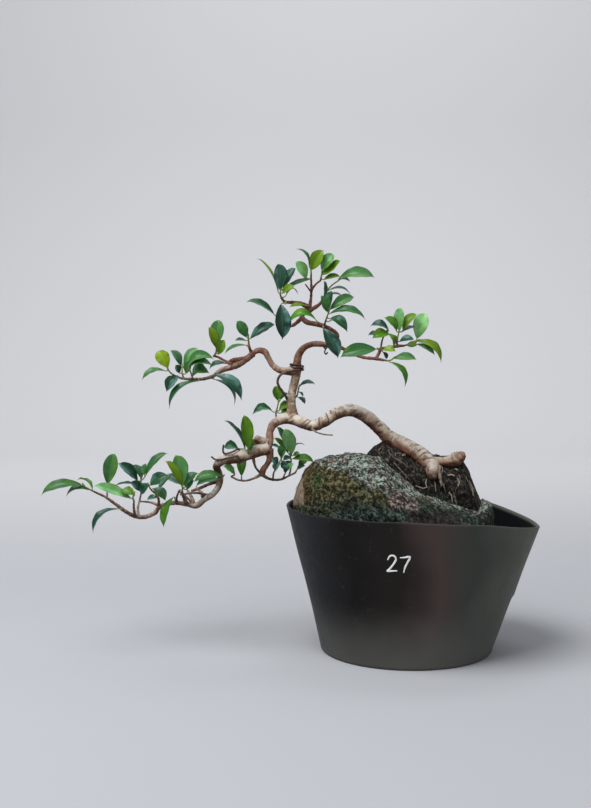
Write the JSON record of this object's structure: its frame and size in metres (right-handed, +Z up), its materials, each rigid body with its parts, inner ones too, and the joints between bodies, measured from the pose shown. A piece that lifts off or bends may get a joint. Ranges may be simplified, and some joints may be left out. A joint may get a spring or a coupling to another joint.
{
  "type": "bonsai",
  "caption": "Bonsai fig with a low cascading trunk rooted over a mossy rock, small glossy leaves in loose pads, growing in a thin flared plastic tub",
  "frame": {"origin": "centre of the tub's flat underside, on the plane it stands on", "axes": "+Z up; +X towards the higher-numbered right of the front view, the low branches reach towards -X; +Y away from the viewer"},
  "size_m": [0.5128, 0.224, 0.4157],
  "materials": {
    "tub": "satin black, dusty and scuffed",
    "soil": "damp crumbs",
    "rock": "rough, with lichen and moss",
    "roots": "matted fine roots and soil",
    "bark": "smooth tan bark with creases",
    "wire": "brown anodised, dulled",
    "leaf": "glossy green"
  },
  "bodies": {
    "root": {"tub": "tub", "soil": "soil", "rock": "rock", "root_mat": "roots", "trunk_and_branches": "bark", "wire_at_graft": "wire", "wire_on_low_branch": "wire", "wire_loop": "wire", "leaves_apex_arch": "leaf", "leaves_apex_crown": "leaf", "leaves_apex_crown_right": "leaf", "leaves_apex_dark": "leaf", "leaves_apex_droop": "leaf", "leaves_apex_fan": "leaf", "leaves_apex_hub": "leaf", "leaves_apex_olive": "leaf", "leaves_apex_sail": "leaf", "leaves_apex_teal": "leaf", "leaves_cluster_edge": "leaf", "leaves_cluster_left": "leaf", "leaves_cluster_low": "leaf", "leaves_cluster_tall": "leaf", "leaves_far_bright": "leaf", "leaves_far_crown": "leaf", "leaves_far_front": "leaf", "leaves_far_hidden": "leaf", "leaves_far_long": "leaf", "leaves_far_low": "leaf", "leaves_far_riser": "leaf", "leaves_far_tip": "leaf", "leaves_far_under": "leaf", "leaves_far_upright": "leaf", "leaves_inner_shoot": "leaf", "leaves_leader_back": "leaf", "leaves_low_down": "leaf", "leaves_low_left": "leaf", "leaves_low_lime": "leaf", "leaves_low_side": "leaf", "leaves_low_strip": "leaf", "leaves_mid_arch": "leaf", "leaves_mid_bright": "leaf", "leaves_mid_dark": "leaf", "leaves_mid_droop": "leaf", "leaves_mid_droop_back": "leaf", "leaves_mid_left": "leaf", "leaves_mid_spur": "leaf", "leaves_mid_spur_low": "leaf", "leaves_mid_tip": "leaf", "leaves_mid_under": "leaf", "leaves_right_big": "leaf", "leaves_right_crown": "leaf", "leaves_right_low": "leaf", "leaves_right_olive": "leaf", "leaves_right_tip": "leaf"}
  },
  "joints": []
}
